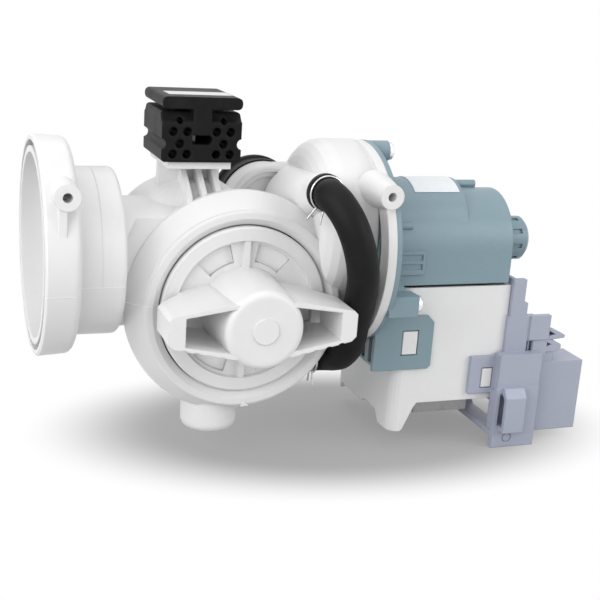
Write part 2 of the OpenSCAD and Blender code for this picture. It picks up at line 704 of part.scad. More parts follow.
module impeller() color("#e8e8e8") {
    cup_in = dog_r + move_gap;
    difference() {
        union() {
            xcyl(hub_x, hub_x + hub_len, hub_cup_r);
            xturn(concat([[hub_x - 2.4, 0]], bend(hub_x + 1.6, 2, 4, 180, 90), [[hub_x + 1.6, 0]]));
            for (i = [0:blade_count - 1])
                rotate([360 * i / blade_count, 0, 0])
                    xbox([hub_x - 0.6, hub_x + hub_len + 0.5], [-0.9, 0.9], [hub_cup_r - 1, impeller_r]);
        }
        xcyl(hub_x + 2, hub_x + hub_len + 1, cup_in);
        xcyl(hub_x - 3, hub_x + 3, shaft_r + shaft_fit);
    }
    // Stop that the drive dog pushes against after its free swing
    sector(hub_x + 1, hub_x + hub_len, shaft_r + 2.6, cup_in + 0.5, dog_half_angle, 180);
}

module drive_dog() color("#303030") {
    difference() {
        union() {
            xcyl(hub_x + 3, hub_x + hub_len - 0.5, shaft_r + 2);
            sector(hub_x + 3, hub_x + hub_len - 0.5, shaft_r + 1, dog_r, dog_half_angle);
        }
        xcyl(hub_x, hub_x + hub_len + 1, shaft_r + 0.005);
    }
}

module rotor_shaft() color("silver")
    xturn([[hub_x - 1.5, 0], [hub_x - 1.5, shaft_r - 0.4], [hub_x - 1.1, shaft_r],
        [can_end + 11.6, shaft_r], [can_end + 12, shaft_r - 0.4], [can_end + 12, 0]]);

module rotor_sleeve() color("#505050") difference() {
    xcyl(magnet_x, magnet_x + magnet_len, sleeve_r);
    xcyl(magnet_x - 1, magnet_x + magnet_len + 1, shaft_r + 0.005);
}

module rotor_magnet() color("#383838") difference() {
    xcyl(magnet_x, magnet_x + magnet_len, magnet_r);
    xcyl(magnet_x - 1, magnet_x + magnet_len + 1, sleeve_r + 0.005);
}

module bearing_plate() color("#c8c8c8") difference() {
    union() {
        xcyl(plate_face, bearing_x, plate_r);
        xcyl(bearing_x - 1, bearing_x + bearing_len, bearing_r + 3);
    }
    xcyl(bearing_x, bearing_x + bearing_len + 1, bearing_r + seat_gap / 2);
    xcyl(plate_face - 1, bearing_x + 1, shaft_r + 0.6);
    xcyl(plate_face - 1, plate_face + 4, shaft_r + 3.6);
}

module shaft_seal() color("black") difference() {
    xcyl(plate_face + 0.4, plate_face + 3.9, shaft_r + 3.5);
    xcyl(plate_face, plate_face + 5, shaft_r + shaft_fit);
    xcyl(plate_face, plate_face + 2.2, shaft_r + 2.3, 0, 0, shaft_r + 0.4);
}

module bearing(x) difference() {
    xcyl(x, x + bearing_len, bearing_r);
    xcyl(x - 1, x + bearing_len + 1, shaft_r + shaft_fit);
}
module front_bearing() color("#606060") bearing(bearing_x);
module rear_bearing() color("#606060") bearing(can_end + 2);

module rear_bearing_cup() color("black") difference() {
    xcyl(can_end + 1, can_end + 3 + bearing_len, rear_cup_r);
    xcyl(can_end + 2 - seat_gap / 2, can_end + 2 + bearing_len + seat_gap / 2, bearing_r + seat_gap / 2);
    xcyl(can_end, can_end + 5 + bearing_len, shaft_r + 1.4);
}

// Tunnel shaped section of the can
module can_section(r, low) {
    difference() {
        circle(r);
        translate([-r, -2 * r]) square([2 * r, 2 * r]);
    }
    translate([-r, low]) square([2 * r, -low]);
}

module motor_outside() {
    xcyl(flange_x, flange_back, ring_r);
    xcyl(plate_face, flange_x + 1, motor_spigot_r);
    xslab(flange_x + 1, can_end) can_section(can_r, can_floor);
    xturn([[can_end - 1, 0], [can_end - 1, boss_r], [boss_end - 1.5, boss_r], [boss_end, boss_r - 1.5],
        [boss_end, 0]]);
    // Raised seat of the rating label, with the cable rib behind it
    xslab(flange_x + 1, can_x + pad_len) {
        difference() {
            translate([0, pad_z]) circle(pad_r);
            translate([-can_r, pad_z - can_r]) square([2 * can_r, can_r]);
        }
        polygon([for (m = [-1, 1], p = [[can_r, 0], [pad_r, pad_z]]) [m * p[0] * sin(pad_angle),
            p[1] + p[0] * cos(pad_angle)]]);
    }
    xcyl(can_x + pad_len - 1, can_x + pad_len + 14, 1.9, 4.5, can_r + 1.2);
    xbox([can_x + pad_len - 1, can_x + pad_len + 13], [3.6, 5.4], [can_r - 3, can_r + 1.2]);
    for (i = [0:2]) let (p = on_screw_circle(i)) {
        xcyl(flange_x + 1, screw_boss_end[i], screw_boss_r, p[0], p[1]);
        rotate([screw_angles[i] - 90, 0, 0])
            xbox([flange_x + 1, screw_boss_end[i] - 2], [-1.2, 1.2], [can_r - 2, screw_circle_r - 2]);
    }
    // The lower front screw sits in a square ear
    let (p = on_screw_circle(1))
        xbox([flange_x + 1, screw_boss_end[1]], [p[0] - screw_boss_r, p[0] + screw_boss_r],
            [p[1] - screw_boss_r, p[1] + screw_boss_r]);
    // Small marks low on the front of the can
    xbox([flange_x + 1, can_x + 19.6], [-can_r - 1.2, -can_r + 3], [-10.2, 0.4]);
    xcyl(flange_x + 1, can_x + 13, 1.4, -sqrt(can_r * can_r - 121) - 0.4, 11);
}

module motor_inside() {
    difference() {
        xslab(can_x, can_end - can_wall) can_section(can_r - can_wall, can_floor - 5);
        xcyl(plate_face, can_end, well_r + well_wall);
    }
    xcyl(plate_face - 1, well_end, well_r);
    xcyl(well_end - 1, can_end + 12.5, rear_cup_r + seat_gap / 2);
    for (i = [0:2])
        xcyl(flange_x - 1, can_x + 20, screw_r + 0.05, on_screw_circle(i)[0], on_screw_circle(i)[1]);
    for (a = [20:40:340])
        rotate([a, 0, 0]) xbox([can_end + 5, boss_end - 4], [-1.1, 1.1], [boss_r - 0.9, boss_r + 2]);
    for (z = [-6.6, -2.4])
        xbox([can_x + 5, can_x + 18], [-can_r - 2, -can_r - 0.6], [z - 1.3, z + 1.3]);
}

module motor_housing() color("#8095a0") {
    side = cover_d / 2 + clip_t + seat_gap;
    difference() {
        motor_outside();
        motor_inside();
    }
    // Frame below the flange that grips the stator cover
    difference() {
        xbox([flange_back - 0.1, cover_x - seat_gap], [-side, side], [clip_z[0], -24]);
        for (y = [-side + 2.2, -side + 9.6, 3, 11])
            xbox([flange_back - 1, cover_x - 2], [y, y + (y < 0 ? 3.4 : 5)], [clip_z[0] + 3.4, -26]);
        xbox([flange_back - 1, cover_x - 2], [-8, 0], [clip_z[0] + 3.4, -26]);
        xbox([flange_back - 1, cover_x], [-side + 2, side - 2], [clip_z[0] - 1, clip_z[0] + 2]);
    }
    for (m = [0, 1]) mirror([0, m, 0])
        xbox([flange_back - 0.1, cover_x - seat_gap], [-side, -can_r + 0.5], [-25, -15.5]);
    difference() {
        yslab(-side, -side + clip_t) polygon([[can_x + 4, clip_z[0]], [clip_x[1] - 1.5, clip_z[0]],
            [clip_x[1], clip_z[0] + 1.5], [clip_x[1], clip_z[1] - 3], [clip_x[1] - 3, clip_z[1]],
            [can_x + 4, clip_z[1]]]);
        xbox([window_x[0] - move_gap, window_x[1] + move_gap], [-side - 1, -side + clip_t + 1],
            [window_z[0] - move_gap, window_z[1] + move_gap]);
    }
}

module motor_screws() color("silver")
    for (i = [0:2]) let (p = on_screw_circle(i), end = screw_boss_end[i]) difference() {
        union() {
            xcyl(flange_x - screw_grip + 0.3, end + 0.5, screw_r, p[0], p[1]);
            xturn(concat([[end + seat_gap / 2, 0], [end + seat_gap / 2, screw_head_r]],
                bend(end + 1.4, screw_head_r - 1.2, 1.2, 90, 0), [[end + 2.6, 0]]), p[0], p[1]);
        }
        for (a = [0, 90])
            translate([0, p[0], p[1]]) rotate([a, 0, 0])
                xbox([end + 1.2, end + 3], [-0.5, 0.5], [-2.2, 2.2]);
    }

// Plan of the stator cover in X and Y, with round left corners
module cover_plan(inset, back) {
    h = cover_d / 2 - inset;
    b = back - inset;
    r = 5.5 - inset;
    x0 = cover_x + inset;
    x1 = cover_end - inset;
    polygon(concat(bend(x0 + r, r - h, r, 180, 270), [[x1, -h], [x1, b]], bend(x0 + r, b - r, r, 90, 180)));
}

module stator_cover() color("white") {
    nub = clip_t + seat_gap;
    difference() {
        union() {
            translate([0, 0, -cover_bottom]) linear_extrude(cover_bottom + cover_top) cover_plan(0, cover_d / 2);
            translate([0, 0, -cover_bottom]) linear_extrude(cover_bottom - shelf_drop) cover_plan(0, cover_back);
            intersection() {
                translate([0, 0, -foot_bottom]) linear_extrude(20) cover_plan(0, cover_back);
                yslab(-cover_d, cover_back + 1) polygon(concat([[cover_x - 1, -foot_bottom], [cover_x + 5.4, -foot_bottom],
                    [cover_x + 6.6, 1 - foot_bottom], [cover_x + 11.4, -cover_bottom - 2]],
                    [[cover_x + 13.4, 1 - cover_bottom], [cover_x - 1, 1 - cover_bottom]]));
            }
        }
        // Room for the coils, open at the top, and the smaller opening for the core below
        translate([0, 0, 3 - cover_bottom]) linear_extrude(cover_bottom + 10) cover_plan(cover_wall, cover_d / 2);
        translate([0, 0, 3 - cover_bottom]) linear_extrude(cover_bottom - shelf_drop - 3 - cover_wall)
            cover_plan(cover_wall, cover_back);
        xbox([stack_x - seat_gap, stack_x + stack_len + seat_gap], [-yoke_half - seat_gap, yoke_half + seat_gap],
            [-cover_bottom - 1, 10 - cover_bottom]);
        translate([0, 0, -foot_bottom - 1]) linear_extrude(foot_bottom - cover_bottom + 1)
            cover_plan(2.2, cover_back);
        xslab(cover_x - 1, cover_x + 20) polygon([[-11, -foot_bottom - 1], [-6, 5 - foot_bottom],
            [8, 5 - foot_bottom], [9.5, 3 - foot_bottom], [cover_back - 7, 3 - foot_bottom],
            [cover_back - 5.5, -foot_bottom - 1]]);
    }
    // Nubs that the motor housing's and the connector's clips snap over
    xbox([window_x[0], window_x[1]], [-cover_d / 2 - nub, -cover_d / 2 + 1], [window_z[0], window_z[1]]);
    xbox([tab_window_x[0], tab_window_x[1]], [-cover_d / 2 - nub, -cover_d / 2 + 1],
        [tab_window_z[0], tab_window_z[1]]);
}

module stator_core() color("#707478") xslab(stack_x, stack_x + stack_len) {
    translate([-yoke_half, -yoke_bottom]) square([2 * yoke_half, yoke_bottom - yoke_top]);
    for (m = [0, 1]) mirror([m, 0]) difference() {
        union() {
            translate([leg_in, -yoke_top - 1]) square([leg_out - leg_in, yoke_top - 15]);
            polygon([[4, -15], [7, -19], [leg_out, -19], [pole_out, -16], [pole_out, 4], [pole_out - 4, pole_top],
                [4, pole_top]]);
        }
        circle(core_bore);
    }
}

module bobbin_side() {
    xa = bobbin_half_x;
    inner = leg_in - seat_gap;
    outer = leg_out + seat_gap;
    difference() {
        union() {
            for (z = [bobbin_bottom, bobbin_top - 1.5])
                xbox([stack_mid - xa, stack_mid + xa], [bobbin_in, bobbin_out], [z, z + 1.5]);
            xbox([stack_mid - stack_len / 2 - seat_gap - bobbin_wall, stack_mid + stack_len / 2 + seat_gap + bobbin_wall],
                [inner - bobbin_wall, outer + bobbin_wall], [bobbin_bottom, bobbin_top]);
        }
        xbox([stack_x - seat_gap, stack_x + stack_len + seat_gap], [inner, outer], [bobbin_bottom - 1, bobbin_top + 1]);
    }
}
module front_bobbin() color("#d8d8d0") mirror([0, 1, 0]) bobbin_side();
module rear_bobbin() color("#d8d8d0") bobbin_side();

module winding_side() {
    gap = seat_gap + bobbin_wall + seat_gap / 2;
    z0 = bobbin_bottom + 1.5 + seat_gap / 2;
    z1 = bobbin_top - 1.5 - seat_gap / 2;
    difference() {
        xbox([stack_mid - bobbin_half_x + 0.8, stack_mid + bobbin_half_x - 0.8], [bobbin_in + 0.6, bobbin_out - 0.8],
            [z0, z1]);
        xbox([stack_x - gap, stack_x + stack_len + gap], [leg_in - gap, leg_out + gap], [z0 - 1, z1 + 1]);
    }
}
module front_winding() color("#b87333") mirror([0, 1, 0]) winding_side();
module rear_winding() color("#b87333") winding_side();

module thermal_cutout() color("#202020") {
    x = stack_mid + bobbin_half_x - 0.8 + seat_gap / 2;
    xbox([x, x + 4], [-16, -8], [-52, -38]);
}

module terminal_blades() color("#c0c0c8")
    for (z = blade_zs)
        xbox([box_x - 3, box_x + plug_box_w - 8], [blade_y - 3.15, blade_y + 3.15], [z - 0.4, z + 0.4]);

module connector_housing() color("#a3a8b8") {
    f = front_y;
    bx = [box_x - 1.5, box_x + plug_box_w];
    // Wall against the right end of the stator cover, with its raised front edge
    xbox([end_wall_x, end_wall_x + end_wall_t], [f, cover_d / 2], [-75, -13.8]);
    xbox([end_wall_x, end_wall_x + 6.6], [f, f + 3], [-32, -13.8]);
    xbox([end_wall_x + 6, end_wall_x + 8.6], [f, f + 3], [-33, -25]);
    difference() {
        xbox([end_wall_x - 1, end_wall_x + 21.5], [f, f + clip_t], [-49.5, -31.2]);
        xbox([end_wall_x + 10.3, end_wall_x + 13.9], [f - 1, f + clip_t + 1], [-49, -43.5]);
    }
    xbox([end_wall_x + 9.4, end_wall_x + 15], [f + 4, f + 5.4], [-50.5, -32]);
    xbox([end_wall_x + 9.4, end_wall_x + 10.3], [f + clip_t - 0.2, f + 5.4], [-50.5, -32]);
    xbox([end_wall_x + 11.9, end_wall_x + 12.7], [f + 1.4, f + 4.2], [-50, -42.5]);
    xbox([end_wall_x + 10.9, end_wall_x + 21.5], [f - 0.8, f + 1], [-43, -31.2]);
    // Front tab that snaps over the nub of the stator cover
    difference() {
        xbox([cover_end - 17.4, end_wall_x + 2], [f, f + clip_t], [-68, -50]);
        xbox([tab_window_x[0] - move_gap, tab_window_x[1] + move_gap], [f - 1, f + clip_t + 1],
            [tab_window_z[0] - move_gap, tab_window_z[1] + move_gap]);
    }
    xbox([cover_end - 4.6, end_wall_x + 17], [f - 4.6, f + 1], [-68.5, -48.5]);
    // Cable hook with its open left side
    difference() {
        xslab(cover_end - 2.3, cover_end + 8.3) polygon([[f - 3.6, -64], [f - 7, -64], [f - 10, -68], [f - 10, -85],
            [f - 3.6, -85]]);
        xslab(cover_end - 3, cover_end + 5) polygon([[f - 3, -66.5], [f - 5.6, -66.5], [f - 8, -69], [f - 8, -83], [f - 3, -83]]);
    }
    difference() {
        union() {
            xbox([cover_end - 5.5, end_wall_x + 16.6], [f - 5.8, f - 3.4], [-bracket_bottom, -64]);
            xbox([cover_end - 5.5, cover_end + 4.5], [f - 4, f + 0.2], [-85, -66]);
        }
        xbox([cover_end - 3.3, cover_end + 3.3], [f - 6.5, f - 1], [-82.5, -67]);
        difference() {
            ycyl(f - 7, f - 5.4, 2.4, cover_end + 2.6, 4.6 - bracket_bottom);
            ycyl(f - 8, f - 5, 1.9, cover_end + 2.6, 4.6 - bracket_bottom);
        }
    }
    // Arm that carries the bracket back under the cover
    xslab(cover_end - 5.5, cover_end + 3) polygon([[f - 4, -88], [f - 4, -85.2], [4, -85.2], [11, -77],
        [11, -73.5], [cover_d / 2 - 3, -73.5], [cover_d / 2 - 3, -76], [14, -76], [14, -78], [6, -88]]);
    xbox([cover_end + 0.5, end_wall_x + end_wall_t], [-cover_d / 2 + 5, cover_d / 2 - 3], [-76, -73.5]);
    // Plug box, open to the right, with a lip to latch on
    difference() {
        union() {
            xbox(bx, [box_y, box_y + plug_box_d], [box_z, box_z + plug_box_h]);
            xbox([end_wall_x + 12, box_x + 1], [f, box_y + plug_box_d], [box_z + 1, -50]);
        }
        xbox([bx[0] + 6, bx[1] + 1], [box_y + box_wall, box_y + plug_box_d - box_wall],
            [box_z + box_wall, box_z + plug_box_h - box_wall]);
        for (z = blade_zs)
            xbox([box_x - 3, bx[1]], [blade_y - 3.15 - seat_gap / 2, blade_y + 3.15 + seat_gap / 2],
                [z - 0.4 - seat_gap / 2, z + 0.4 + seat_gap / 2]);
    }
    xbox([box_x - 1, box_x + 5], [f, f + 6], [-56, -46]);
    // Two barbed ears that hold the loom's plug, hollow in front
    difference() {
        yslab(f, f + 9) {
            polygon([[box_x + 2, -36.4], [box_x + 3.4, -36.4], [box_x + 14.3, -41.4], [box_x + 14.1, -42.8],
                [box_x + 2, -43.9]]);
            polygon([[box_x + 2, -43], [box_x + 9, -44], [box_x + 12.6, -45.9], [box_x + 12.9, -47.7],
                [box_x + 11, -49.4], [box_x + 2, -49.4]]);
        }
        yslab(f - 1, f + 4) {
            polygon([[box_x + 3.4, -38], [box_x + 9.4, -41], [box_x + 3.4, -42]]);
            polygon([[box_x + 3.4, -43.7], [box_x + 7.6, -45.9], [box_x + 3.4, -47.4]]);
        }
    }
    xbox([box_x + 1, box_x + 3], [f, f + 9], [-56, -36.5]);
    xbox([box_x + 2, box_x + 9.4], [f + 0.6, f + 9], [-56, -49]);
}

module rating_label() color("#dfe3e7") {
    thick = 0.25;
    difference() {
        xcyl(can_x + 17, can_x + pad_len - 2, pad_r + seat_gap / 2 + thick, 0, pad_z);
        xcyl(can_x + 5, can_x + pad_len, pad_r + seat_gap / 2, 0, pad_z);
        xbox([can_x, can_x + pad_len], [-40, 40], [-40, pad_z + 16.4]);
        xbox([can_x, can_x + pad_len], [6, 40], [-40, 60]);
    }
}

inlet_collar();
pump_housing();
outlet_sleeve();
bypass_hose();
upper_hose_clamp();
lower_hose_clamp();
rubber_mount();
filter_seal();
filter_cap();
filter_basket();
volute_seal();
impeller();
drive_dog();
rotor_shaft();
rotor_sleeve();
rotor_magnet();
bearing_plate();
shaft_seal();
front_bearing();
rear_bearing();
rear_bearing_cup();
motor_housing();
motor_screws();
stator_cover();
stator_core();
front_bobbin();
rear_bobbin();
front_winding();
rear_winding();
thermal_cutout();
terminal_blades();
connector_housing();
rating_label();
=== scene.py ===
"""Washer drain pump: finishes, a smooth hose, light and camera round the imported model, all in metres."""
import json
import math

import bpy
import numpy as np
from mathutils import Matrix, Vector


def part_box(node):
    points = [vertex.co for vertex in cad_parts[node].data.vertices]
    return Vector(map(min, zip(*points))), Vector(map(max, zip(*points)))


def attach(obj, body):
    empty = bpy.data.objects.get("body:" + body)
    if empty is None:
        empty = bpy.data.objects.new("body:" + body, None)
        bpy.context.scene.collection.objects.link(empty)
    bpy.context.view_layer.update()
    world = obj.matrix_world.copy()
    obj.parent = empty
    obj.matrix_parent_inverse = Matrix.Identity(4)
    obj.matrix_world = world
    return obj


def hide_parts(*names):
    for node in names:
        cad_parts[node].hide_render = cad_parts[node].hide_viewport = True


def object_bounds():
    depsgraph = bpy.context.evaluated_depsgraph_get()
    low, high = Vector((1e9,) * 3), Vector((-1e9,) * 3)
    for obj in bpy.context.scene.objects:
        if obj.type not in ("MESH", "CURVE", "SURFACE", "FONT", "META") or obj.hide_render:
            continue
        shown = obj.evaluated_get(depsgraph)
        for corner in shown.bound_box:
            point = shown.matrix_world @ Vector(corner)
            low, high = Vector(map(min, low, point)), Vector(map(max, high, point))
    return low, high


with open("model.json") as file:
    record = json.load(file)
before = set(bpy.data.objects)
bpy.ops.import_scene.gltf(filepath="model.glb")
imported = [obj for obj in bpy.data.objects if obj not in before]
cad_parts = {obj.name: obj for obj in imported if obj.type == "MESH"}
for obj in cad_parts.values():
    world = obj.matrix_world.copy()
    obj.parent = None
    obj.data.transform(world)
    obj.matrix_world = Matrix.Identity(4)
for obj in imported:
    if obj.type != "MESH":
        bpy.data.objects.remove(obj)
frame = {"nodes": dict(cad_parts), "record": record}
cad_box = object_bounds()
MM = 0.001

# The lamps and the floor are set round this place, near the middle of the pump's length
MIDDLE = (0.12, 0, 0)

# The neck's axis lies this far below the frame's x axis
NECK_DROP = 2.5 * MM


# Camera and lamps
SENSOR = 36
FRAME_PIXELS, FOCAL_PIXELS = 600, 1132.76
CAMERA_PLACE = (-0.0545, -0.4579, 0.1140)
CAMERA_RIGHT = (0.94002, -0.33451, 0.06677)
CAMERA_UP = (0.03284, 0.28358, 0.95839)
CAMERA_BACK = (-0.33952, -0.89871, 0.27756)
PANEL_SIZE = 0.5


def set_camera():
    """A 68 mm lens at the inlet's side and a little above, rolled four degrees as the photograph is."""
    data = bpy.data.cameras.new("camera")
    data.sensor_width = SENSOR
    data.lens = SENSOR / FRAME_PIXELS * FOCAL_PIXELS
    data.clip_start, data.clip_end = 0.01, 30
    camera = bpy.data.objects.new("camera", data)
    turn = Matrix((CAMERA_RIGHT, CAMERA_UP, CAMERA_BACK)).transposed().to_4x4()
    turn.translation = CAMERA_PLACE
    camera.matrix_world = turn
    bpy.context.collection.objects.link(camera)
    bpy.context.scene.camera = camera


def add_lamp(name, kind, back, hint, place=(0, 0, 0), **settings):
    """A lamp at a place, whose light travels against back; its x axis is square to back and to hint."""
    data = bpy.data.lights.new(name, kind)
    for key, value in settings.items():
        setattr(data, key, value)
    z = back / np.linalg.norm(back)
    x = np.cross(hint, z)
    x /= np.linalg.norm(x)
    turn = Matrix((x, np.cross(z, x), z)).transposed().to_4x4()
    turn.translation = place
    lamp = bpy.data.objects.new(name, data)
    lamp.matrix_world = turn
    bpy.context.collection.objects.link(lamp)


def add_sun(name, strength, spread, towards):
    """A lamp with parallel rays; towards is the direction in which its light travels."""
    add_lamp(name, "SUN", -np.array(towards), (0, 1, 0.01), energy=strength, angle=math.radians(spread))


def add_panel(name, power, place):
    """A square soft box that faces the middle of the pump."""
    add_lamp(name, "AREA", np.subtract(place, MIDDLE), (0, 0, 1), place, energy=power, size=PANEL_SIZE)


# Shader sums
class Term:
    """A shader socket that takes part in Python sums; each operator adds the Math node it names."""

    def __init__(self, tree, socket):
        self.tree, self.socket = tree, socket

    def math(self, operation, *rest, first=None):
        """The Math node of this operation on this term, or with first put before it."""
        node = self.tree.nodes.new("ShaderNodeMath")
        node.operation = operation
        terms = (self, *rest) if first is None else (first, self)
        for slot, term in zip(node.inputs, terms):
            feed(self.tree, slot, term)
        return Term(self.tree, node.outputs[0])

    def __add__(self, other):
        return self.math("ADD", other)

    def __radd__(self, other):
        return self.math("ADD", first=other)

    def __sub__(self, other):
        return self.math("SUBTRACT", other)

    def __rsub__(self, other):
        return self.math("SUBTRACT", first=other)

    def __mul__(self, other):
        return self.math("MULTIPLY", other)

    def __rmul__(self, other):
        return self.math("MULTIPLY", first=other)

    def __truediv__(self, other):
        return self.math("DIVIDE", other)

    def __rtruediv__(self, other):
        return self.math("DIVIDE", first=other)

    def __abs__(self):
        return self.math("ABSOLUTE")


def feed(tree, slot, value):
    """Puts a plain value on a socket, or links a term to it."""
    if isinstance(value, Term):
        tree.links.new(value.socket, slot)
    else:
        slot.default_value = value


def grey(value, tint=(1, 1, 1)):
    """A grey of this value, or this much of a tint, as an opaque colour."""
    return (value * tint[0], value * tint[1], value * tint[2], 1)


def seen(tree):
    """1 for the rays that show a surface or the world, 0 for those that only carry light."""
    ray = tree.nodes.new("ShaderNodeLightPath")
    camera, glossy, through = (Term(tree, ray.outputs[f"Is {kind} Ray"])
                               for kind in ("Camera", "Glossy", "Transmission"))
    return (camera + glossy + through).math("MINIMUM", 1.0)


class Finish:
    """One procedural material on object coordinates, made of terms."""

    def __init__(self, name):
        self.material = bpy.data.materials.new(name)
        self.material.use_nodes = True
        self.tree = self.material.node_tree
        self.shader = self.tree.nodes["Principled BSDF"]
        self.place = self.node("ShaderNodeTexCoord", out="Object")
        split = self.tree.nodes.new("ShaderNodeSeparateXYZ")
        self.tree.links.new(self.place.socket, split.inputs[0])
        self.x, self.y, self.z = (Term(self.tree, split.outputs[i]) for i in range(3))

    @property
    def radius(self):
        """Distance from the neck's axis."""
        height = self.z + NECK_DROP
        return (self.y * self.y + height * height).math("SQRT")

    def node(self, kind, out=0, settings=(), **sockets):
        """Any node: first its settings, then its sockets, by name with _ for a space or by number as _0."""
        made = self.tree.nodes.new(kind)
        for key, value in dict(settings).items():
            setattr(made, key, value)
        for key, value in sockets.items():
            slot = made.inputs[int(key[1:])] if key[1:].isdigit() else made.inputs[key.replace("_", " ")]
            feed(self.tree, slot, value)
        return Term(self.tree, made.outputs[out])

    def noise(self, scale, detail=2.0, roughness=0.5, stretch=None):
        """Cloudy value from 0 to 1; stretch squeezes the pattern along an axis."""
        place = self.place
        if stretch:
            place = self.node("ShaderNodeMapping", Vector=place, Scale=stretch)
        return self.node("ShaderNodeTexNoise", Vector=place, Scale=scale, Detail=detail, Roughness=roughness)

    def blend(self, mask, low, high):
        """Colour low where the mask is 0 and high where it is 1."""
        return self.node("ShaderNodeMix", out=2, settings={"data_type": "RGBA"}, _0=mask, _6=low, _7=high)

    def ramp(self, value, low, high):
        """Value carried from low..high to 0..1, held at both ends."""
        return self.node("ShaderNodeMapRange", Value=value, From_Min=low, From_Max=high)

    def smooth(self, value, low, high):
        """As ramp, with an ease at both ends."""
        return self.node("ShaderNodeMapRange", settings={"interpolation_type": "SMOOTHSTEP"},
                         Value=value, From_Min=low, From_Max=high)

    def band(self, value, low, high, fade):
        """1 where the value is between low and high, falling to 0 there over the width of fade."""
        return self.ramp(value, low, low + fade) * self.ramp(value, high, high - fade)

    def set(self, **sockets):
        """Puts values or terms on the shader's sockets."""
        for key, value in sockets.items():
            feed(self.tree, self.shader.inputs[key.replace("_", " ")], value)

    def relief(self, height, depth, edge=0.0):
        """Bump of the given depth, over edges that are rounded by edge."""
        inputs = {"Height": height, "Distance": depth, "Strength": 1.0}
        if edge:
            inputs["Normal"] = self.node("ShaderNodeBevel", settings={"samples": 6}, Radius=edge)
        self.set(Normal=self.node("ShaderNodeBump", **inputs))

    def light(self, strength):
        """A shader that only shines, white at a strength of 1."""
        return self.node("ShaderNodeEmission", Color=grey(1), Strength=strength)

    def mix(self, mask, low, high):
        """Shader low where the mask is 0 and high where it is 1."""
        return self.node("ShaderNodeMixShader", _0=mask, _1=low, _2=high)


# Finishes
WHITE = (0.76, 0.76, 0.76)

# The width over which marks fade, a seam's half width, and its height where the texture's is about 1
MARK_FADE, SEAM_HALF, SEAM_RISE = 0.0002, 0.0003, 3.5

# Shares of a moulding's colour: painted highlight and painted shade along seams, painted shade on pocket
# walls and painted light on pocket floors
PAINTED_HIGHLIGHT_SEAM, PAINTED_SHADE_SEAM, PAINTED_POCKET_SHADE, PAINTED_POCKET_LIGHT = 1.24, 0.92, 0.62, 1.2

# The white strip on the mount's top: shift from its middle and half size in x and y, depth and soft edge
STRIP_SHIFT, STRIP_HALF, STRIP_DEPTH, STRIP_FADE = (0.0013, -0.0029), (0.0136, 0.0058), 0.0006, 0.0004

# Thickness of a lamination and pitch of the coils' wire
SHEET, WIRE_PITCH = 0.0006, 0.0005

# From the filter plug's face to the end of its skirt
SKIRT_DEPTH = 0.0175


def moulding(name, colour, gloss=0.34, grain=0.00004, clouds=0.03, edge=0.0006,
             seams=(), pockets=(), glow=0.0):
    """Satin injection moulding: faint flow clouds, fine texture, dull handling marks and soft edges.
    A seam is [axis, place, shade, limits by axis or radius]: a fine ridge with a painted highlight or painted
    shade along its top.
    Between the two depths of pockets the walls are greyer with painted shade, and the thin floors behind them
    are lighter with painted light."""
    f = Finish(name)
    cloud = f.noise(38, 3)
    fleck = f.noise(420)
    tone = f.ramp(cloud * 0.75 + fleck * 0.25, 0.35, 0.65)
    base = f.blend(tone, grey(1 - clouds, colour), grey(1, colour))
    marks = f.smooth(f.noise(150, 4, 0.65, stretch=(1, 0.35, 1)), 0.6, 0.72)
    height = f.noise(2400) * 0.7 + f.noise(260) * 0.6
    for axis, at, shade, limits in seams:
        ridge = f.ramp(abs(getattr(f, axis) - at), SEAM_HALF, 0.0)
        for other, (low, high) in limits.items():
            ridge = ridge * f.band(getattr(f, other), low, high, MARK_FADE)
        height = height + ridge * SEAM_RISE
        # Painted highlight or painted shade in the colour along the seam's ridge
        base = f.blend(ridge, base, grey(shade, colour))
    if pockets:
        front, back = pockets
        # Painted shade on the pocket walls, painted light on the floors behind them
        base = f.blend(f.band(f.y, front, back, MARK_FADE), base, grey(PAINTED_POCKET_SHADE, colour))
        base = f.blend(f.ramp(f.y, back, back + MARK_FADE / 2), base, grey(PAINTED_POCKET_LIGHT, colour))
    f.set(Base_Color=base, Roughness=gloss + cloud * 0.08 + marks * 0.08, IOR=1.46)
    if glow:
        f.set(Subsurface_Weight=glow, Subsurface_Scale=0.003, Subsurface_Radius=(1.0, 0.95, 0.9))
    f.relief(height, grain, edge)
    return f.material


def white_moulding(name, **marks):
    """The pump's white plastic, which lets a little light in."""
    return moulding(name, WHITE, glow=0.06, **marks)


def black_rubber(name):
    """What both rubbers share: a finish, its fine pores and a little dust."""
    f = Finish(name)
    pores = f.noise(1600, 3)
    dust = f.smooth(f.noise(60, 5, 0.7), 0.5, 0.75)
    return f, pores, dust


def hose_rubber(name):
    """Black rubber of the hose and seals: porous, dusty in places, with soft highlights."""
    f, pores, dust = black_rubber(name)
    f.set(Base_Color=f.blend(dust, grey(0.007), grey(0.0119)),
          Roughness=0.48 + dust * 0.12 + pores * 0.06, Specular_IOR_Level=0.14)
    f.relief(pores + f.noise(190) * 1.5, 0.00005, 0.001)
    return f.material


def mount_rubber(name):
    """The hanger's rubber, with the moulded white strip along the front of its top plate."""
    f, pores, dust = black_rubber(name)
    low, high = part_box("rubber_mount")
    foot = high[2] - STRIP_DEPTH
    strip = f.ramp(f.z, foot, foot + STRIP_FADE)
    for axis, place in enumerate((f.x, f.y)):
        middle, half = (low[axis] + high[axis]) / 2 + STRIP_SHIFT[axis], STRIP_HALF[axis]
        strip = strip * f.band(place, middle - half, middle + half, STRIP_FADE)
    dark = f.blend(dust, grey(0.007), grey(0.013))
    f.set(Base_Color=f.blend(strip, dark, grey(0.72)), Roughness=0.46 + dust * 0.12,
          Specular_IOR_Level=0.12)
    f.relief(pores + f.noise(190) * 1.5 + strip * 3, 0.00005, 0.0015)
    return f.material


